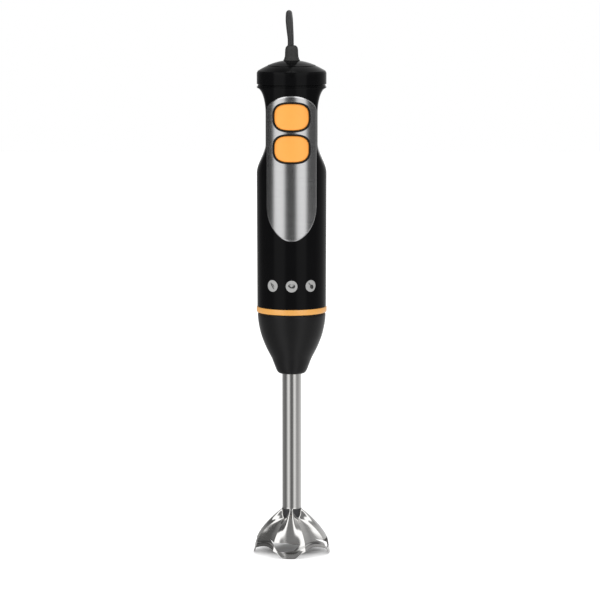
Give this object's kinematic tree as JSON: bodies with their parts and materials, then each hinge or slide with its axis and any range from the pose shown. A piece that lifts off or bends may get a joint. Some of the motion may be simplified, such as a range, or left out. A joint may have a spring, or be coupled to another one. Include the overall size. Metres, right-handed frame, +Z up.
{
  "type": "immersion blender",
  "caption": "Hand-held immersion blender with a pinched motor handle, speed dial, press buttons, a pull-off steel foot with a lobed blade bell, and a mains cord.",
  "frame": {"origin": "centre of the bell's rim, on the surface it stands on", "axes": "+Z up along the shaft, -Y toward the buttons, +X to the right seen from the front"},
  "size_m": [0.0612, 0.2131, 0.4291],
  "materials": {
    "gloss_black": "gloss black moulded plastic",
    "satin_black": "satin black moulded plastic",
    "black_trim": "black gasket",
    "brushed_steel": "steel brushed around the handle",
    "polished_steel": "bright drawn stainless steel",
    "bright_steel": "plain steel",
    "dark_steel": "black zinc plated screw",
    "lamination_steel": "stamped lamination stack",
    "icon_grey": "pale grey print with dark symbols",
    "orange_ring": "translucent orange plastic",
    "orange_button": "soft orange plastic",
    "relief_rubber": "dark grey moulded rubber",
    "seal_rubber": "black lip seal",
    "cord_black": "black PVC cord sheath",
    "plug_rubber": "black moulded plug",
    "tie_black": "black plastic tie",
    "board_green": "green circuit board",
    "component_yellow": "electronic components",
    "inner_plastic": "dark inner moulding",
    "pale_plastic": "natural nylon",
    "wire_red": "insulated lead",
    "copper_wire": "enamelled copper winding",
    "cast_aluminium": "die-cast aluminium",
    "bronze": "sintered bronze bush",
    "brass_part": "brass",
    "carbon": "carbon brush"
  },
  "bodies": {
    "handle": {"front_housing": "gloss_black", "rear_housing": "gloss_black", "steel_panel": "brushed_steel", "button_gasket": "black_trim", "icon_discs": "icon_grey", "accent_ring": "orange_ring", "top_cap": "gloss_black", "strain_relief": "relief_rubber", "inner_cord": "cord_black", "cord_clamp": "bright_steel", "cap_screws": "bright_steel", "housing_screws": "dark_steel", "control_board": "board_green", "board_components": "component_yellow", "board_screws": "bright_steel", "upper_switch": "inner_plastic", "lower_switch": "inner_plastic", "speed_track": "board_green", "wiring": "wire_red", "motor_stator": "lamination_steel", "field_coils": "copper_wire", "upper_motor_bracket": "cast_aluminium", "lower_motor_bracket": "cast_aluminium", "motor_screws": "bright_steel", "upper_bearing": "bronze", "lower_bearing": "bronze", "brush_holders": "brass_part", "carbon_brushes": "carbon", "brush_springs": "bright_steel", "socket_sleeve": "inner_plastic", "snap_spring": "bright_steel", "turbo_spring": "bright_steel", "power_spring": "bright_steel", "cord_lead": "cord_black", "cord_hank": "cord_black", "cord_tail": "cord_black", "cord_tie": "tie_black", "plug_body": "plug_rubber", "plug_blades": "brass_part"},
    "dial": {"speed_dial": "gloss_black", "dial_wiper": "brass_part"},
    "upper_button": {"turbo_button": "orange_button"},
    "lower_button": {"power_button": "orange_button"},
    "rotor": {"motor_shaft": "bright_steel", "armature_core": "lamination_steel", "armature_windings": "copper_wire", "commutator": "brass_part", "cooling_fan": "pale_plastic", "drive_coupling": "pale_plastic"},
    "foot": {"foot_collar": "satin_black", "collar_spigot": "inner_plastic", "shaft_tube": "polished_steel", "upper_bush": "bronze", "bush_housing": "inner_plastic", "lower_bush": "bronze", "shaft_seal": "seal_rubber", "bell_guard": "polished_steel"},
    "blade_shaft": {"drive_shaft": "bright_steel", "drive_socket": "pale_plastic", "blade_set": "bright_steel"}
  },
  "joints": [
    {"name": "dial_turn", "type": "hinge", "parent": "handle", "child": "dial", "pos_m": [0, 0, 0.378], "axis": [0, 0, 1], "range_deg": [-120, 120]},
    {"name": "turbo_press", "type": "slide", "parent": "handle", "child": "upper_button", "axis": [0, 1, 0], "range_m": [0, 0.0022], "stiffness_N_per_m": 700, "springref_m": -0.0006, "deforming": ["turbo_spring"]},
    {"name": "power_press", "type": "slide", "parent": "handle", "child": "lower_button", "axis": [0, 1, 0], "range_m": [0, 0.0022], "stiffness_N_per_m": 700, "springref_m": -0.0006, "deforming": ["power_spring"]},
    {"name": "rotor_spin", "type": "hinge", "parent": "handle", "child": "rotor", "pos_m": [0, 0, 0.25], "axis": [0, 0, 1], "continuous": true},
    {"name": "foot_pull", "type": "slide", "parent": "handle", "child": "foot", "axis": [0, 0, -1], "range_m": [0, 0.03], "deforming": ["snap_spring"]},
    {"name": "blade_spin", "type": "hinge", "parent": "foot", "child": "blade_shaft", "pos_m": [0, 0, 0.1], "axis": [0, 0, 1], "continuous": true}
  ],
  "couplings": [
    {"joint": "blade_spin", "follows": "rotor_spin", "ratio": 1}
  ]
}
